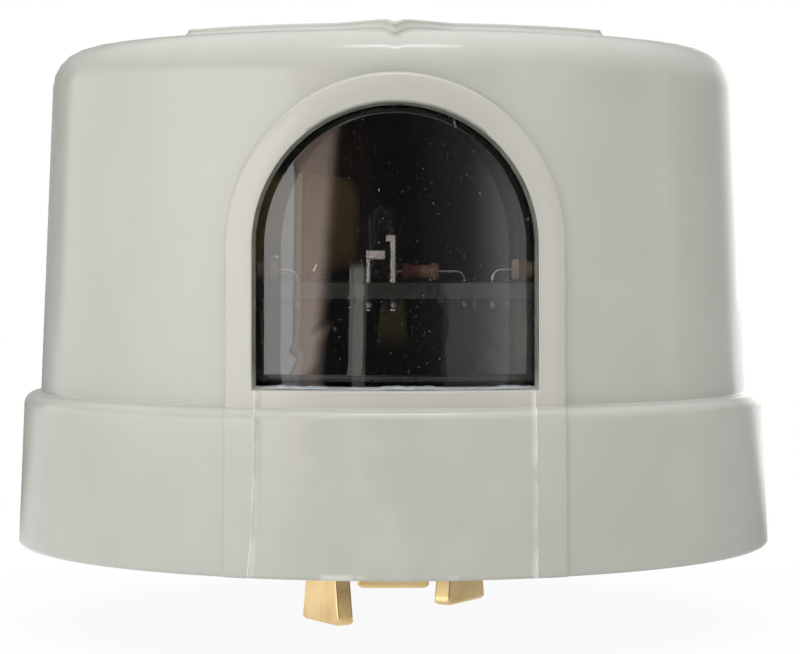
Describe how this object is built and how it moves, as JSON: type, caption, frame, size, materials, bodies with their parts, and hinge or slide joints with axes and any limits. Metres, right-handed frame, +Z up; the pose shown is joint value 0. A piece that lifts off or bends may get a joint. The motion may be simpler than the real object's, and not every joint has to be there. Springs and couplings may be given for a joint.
{
  "type": "photocell switch",
  "caption": "Twist-lock photocell switch: drafted round grey cover with a skirt and an arched smoked window, circuit board inside, gasket and brass contact blades below.",
  "frame": {"origin": "on the switch's axis, in the seating face of the gasket", "axes": "+Z up through the top of the cover, -Y out through the window, -Z down along the blades"},
  "size_m": [0.084, 0.0842, 0.0646],
  "materials": {
    "cover_plastic": "semi-gloss moulded polypropylene, light warm grey",
    "smoked_acrylic": "polished smoke-tinted acrylic",
    "clear_sealant": "clear glossy sealant bead",
    "base_plastic": "moulded thermoset, satin dark grey",
    "gasket_rubber": "matt black rubber",
    "blade_brass": "stamped brass, satin",
    "rivet_brass": "brass rivet, satin",
    "board_laminate": "glass-fibre laminate with green solder mask",
    "solder": "bright solder",
    "clear_epoxy": "clear cast epoxy",
    "tinned_wire": "tinned wire",
    "relay_plastic": "moulded black case",
    "film_coating": "dipped brown coating",
    "varistor_coating": "dipped dark red coating",
    "capacitor_sleeve": "shrunk black sleeve",
    "diode_epoxy": "moulded black epoxy",
    "zener_glass": "orange glass body",
    "resistor_coating": "tan lacquer with colour bands"
  },
  "bodies": {
    "root": {"cover": "cover_plastic", "window_lens": "smoked_acrylic", "lens_sealant": "clear_sealant", "base_plate": "base_plastic", "gasket": "gasket_rubber", "neutral_blade": "blade_brass", "line_blade": "blade_brass", "load_blade": "blade_brass", "blade_rivets": "rivet_brass", "circuit_board": "board_laminate", "solder_joints": "solder", "light_sensor": "clear_epoxy", "sensor_leads": "tinned_wire", "relay": "relay_plastic", "relay_pins": "tinned_wire", "film_capacitor": "film_coating", "film_capacitor_leads": "tinned_wire", "varistor": "varistor_coating", "varistor_leads": "tinned_wire", "smoothing_capacitor": "capacitor_sleeve", "smoothing_capacitor_leads": "tinned_wire", "rectifier_diodes": "diode_epoxy", "rectifier_leads": "tinned_wire", "zener_diode": "zener_glass", "zener_leads": "tinned_wire", "resistors": "resistor_coating", "resistor_leads": "tinned_wire", "driver_transistor": "diode_epoxy", "transistor_leads": "tinned_wire"}
  },
  "joints": []
}
